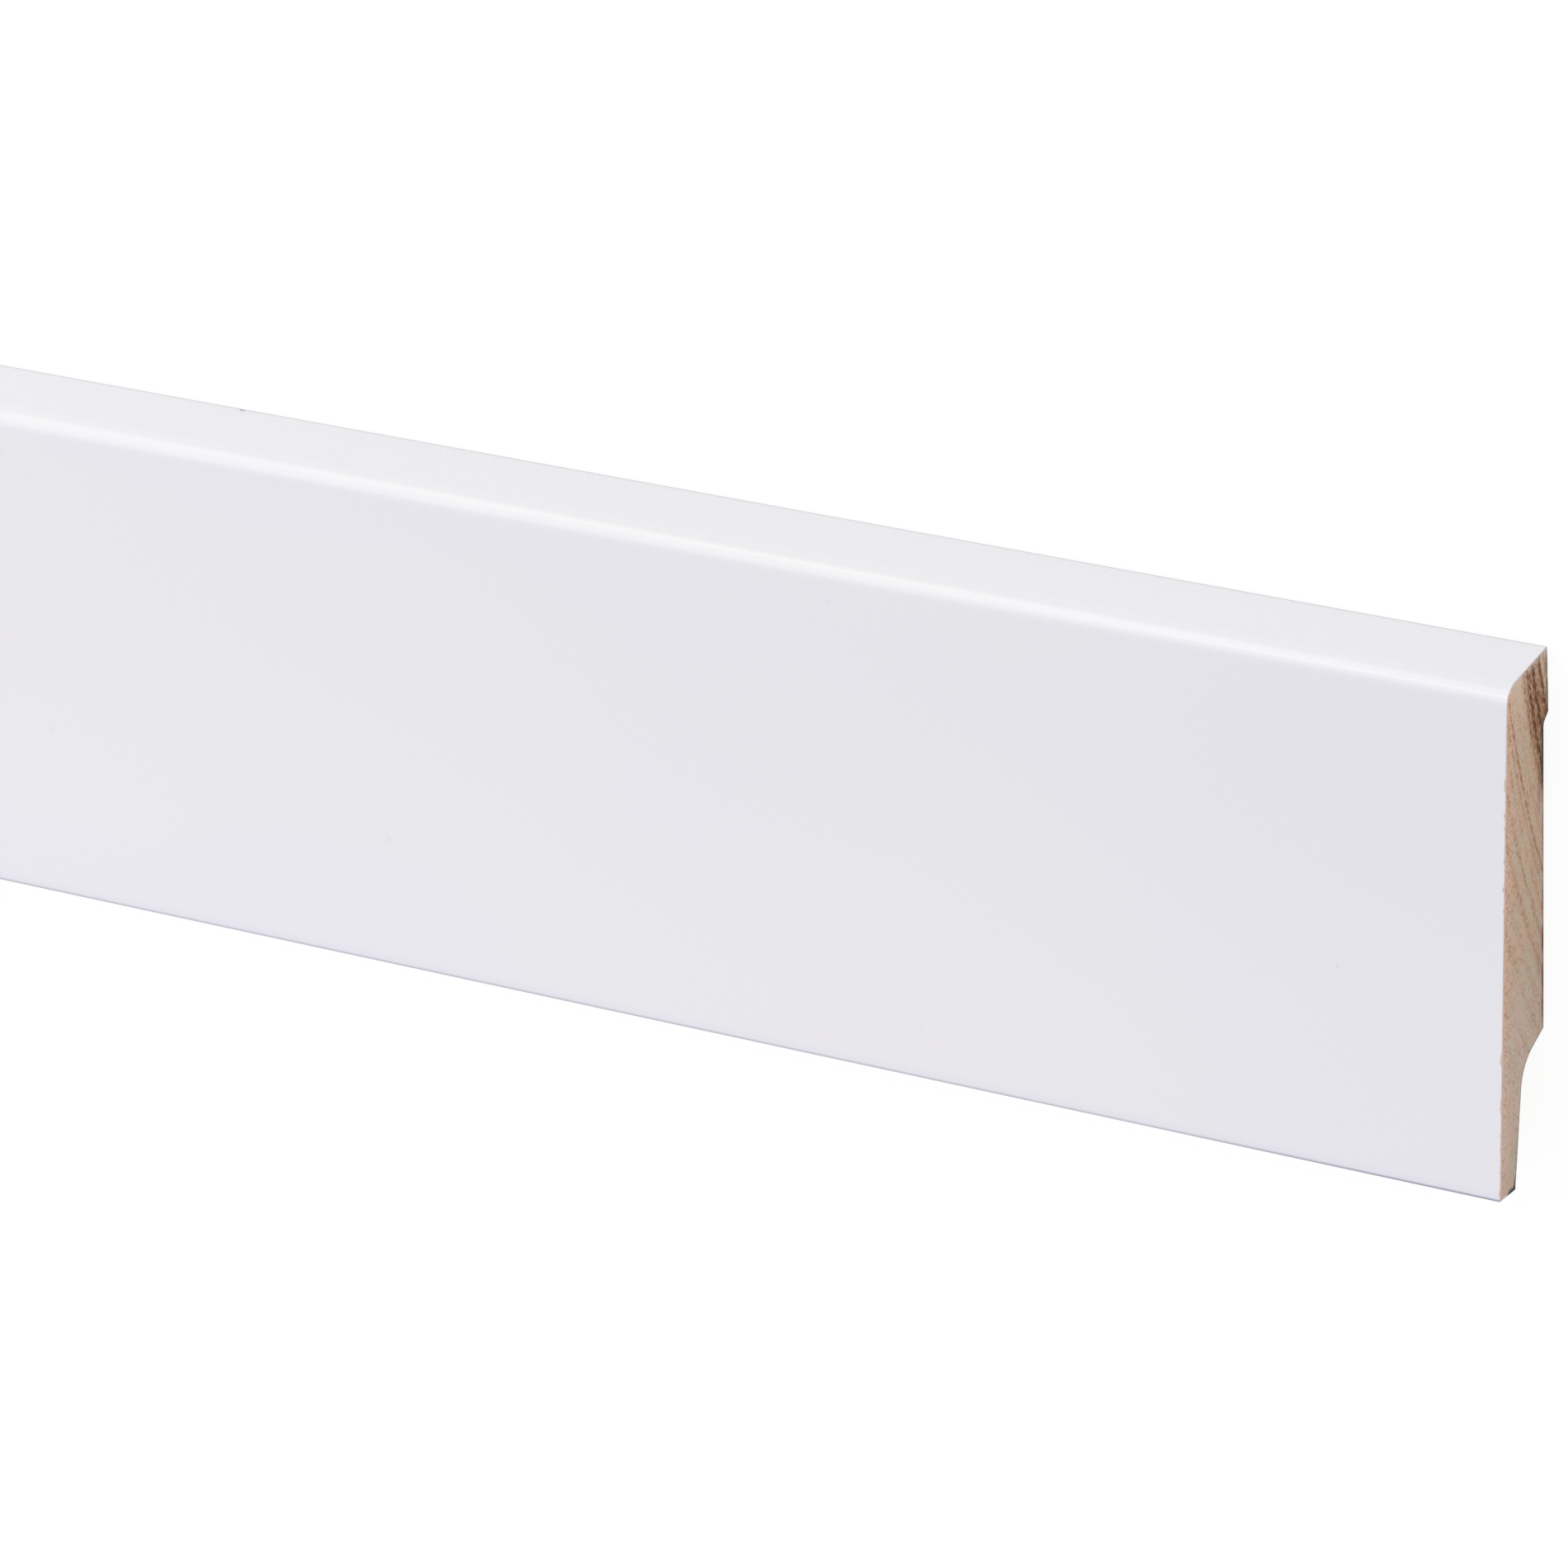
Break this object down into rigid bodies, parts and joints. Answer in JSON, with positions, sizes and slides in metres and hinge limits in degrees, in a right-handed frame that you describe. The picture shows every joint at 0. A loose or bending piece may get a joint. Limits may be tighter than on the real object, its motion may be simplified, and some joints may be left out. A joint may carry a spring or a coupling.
{
  "type": "skirting board",
  "caption": "Straight white-lacquered softwood skirting board with a rounded top, a relieved back with a clip undercut, and a cable recess behind its foot.",
  "frame": {"origin": "on the floor under the middle of the board as it lies on its back: middle of its length and of its width", "axes": "+X along the length, +Y from the bottom edge to the top edge, +Z out of the painted face"},
  "size_m": [2.4, 0.095, 0.016],
  "materials": {
    "lacquered_softwood": "white semi-gloss lacquer on the face, top edge and foot rounding; bare planed wood on the back, bottom edge and sawn ends"
  },
  "bodies": {
    "root": {"skirting_board": "lacquered_softwood"}
  },
  "joints": []
}
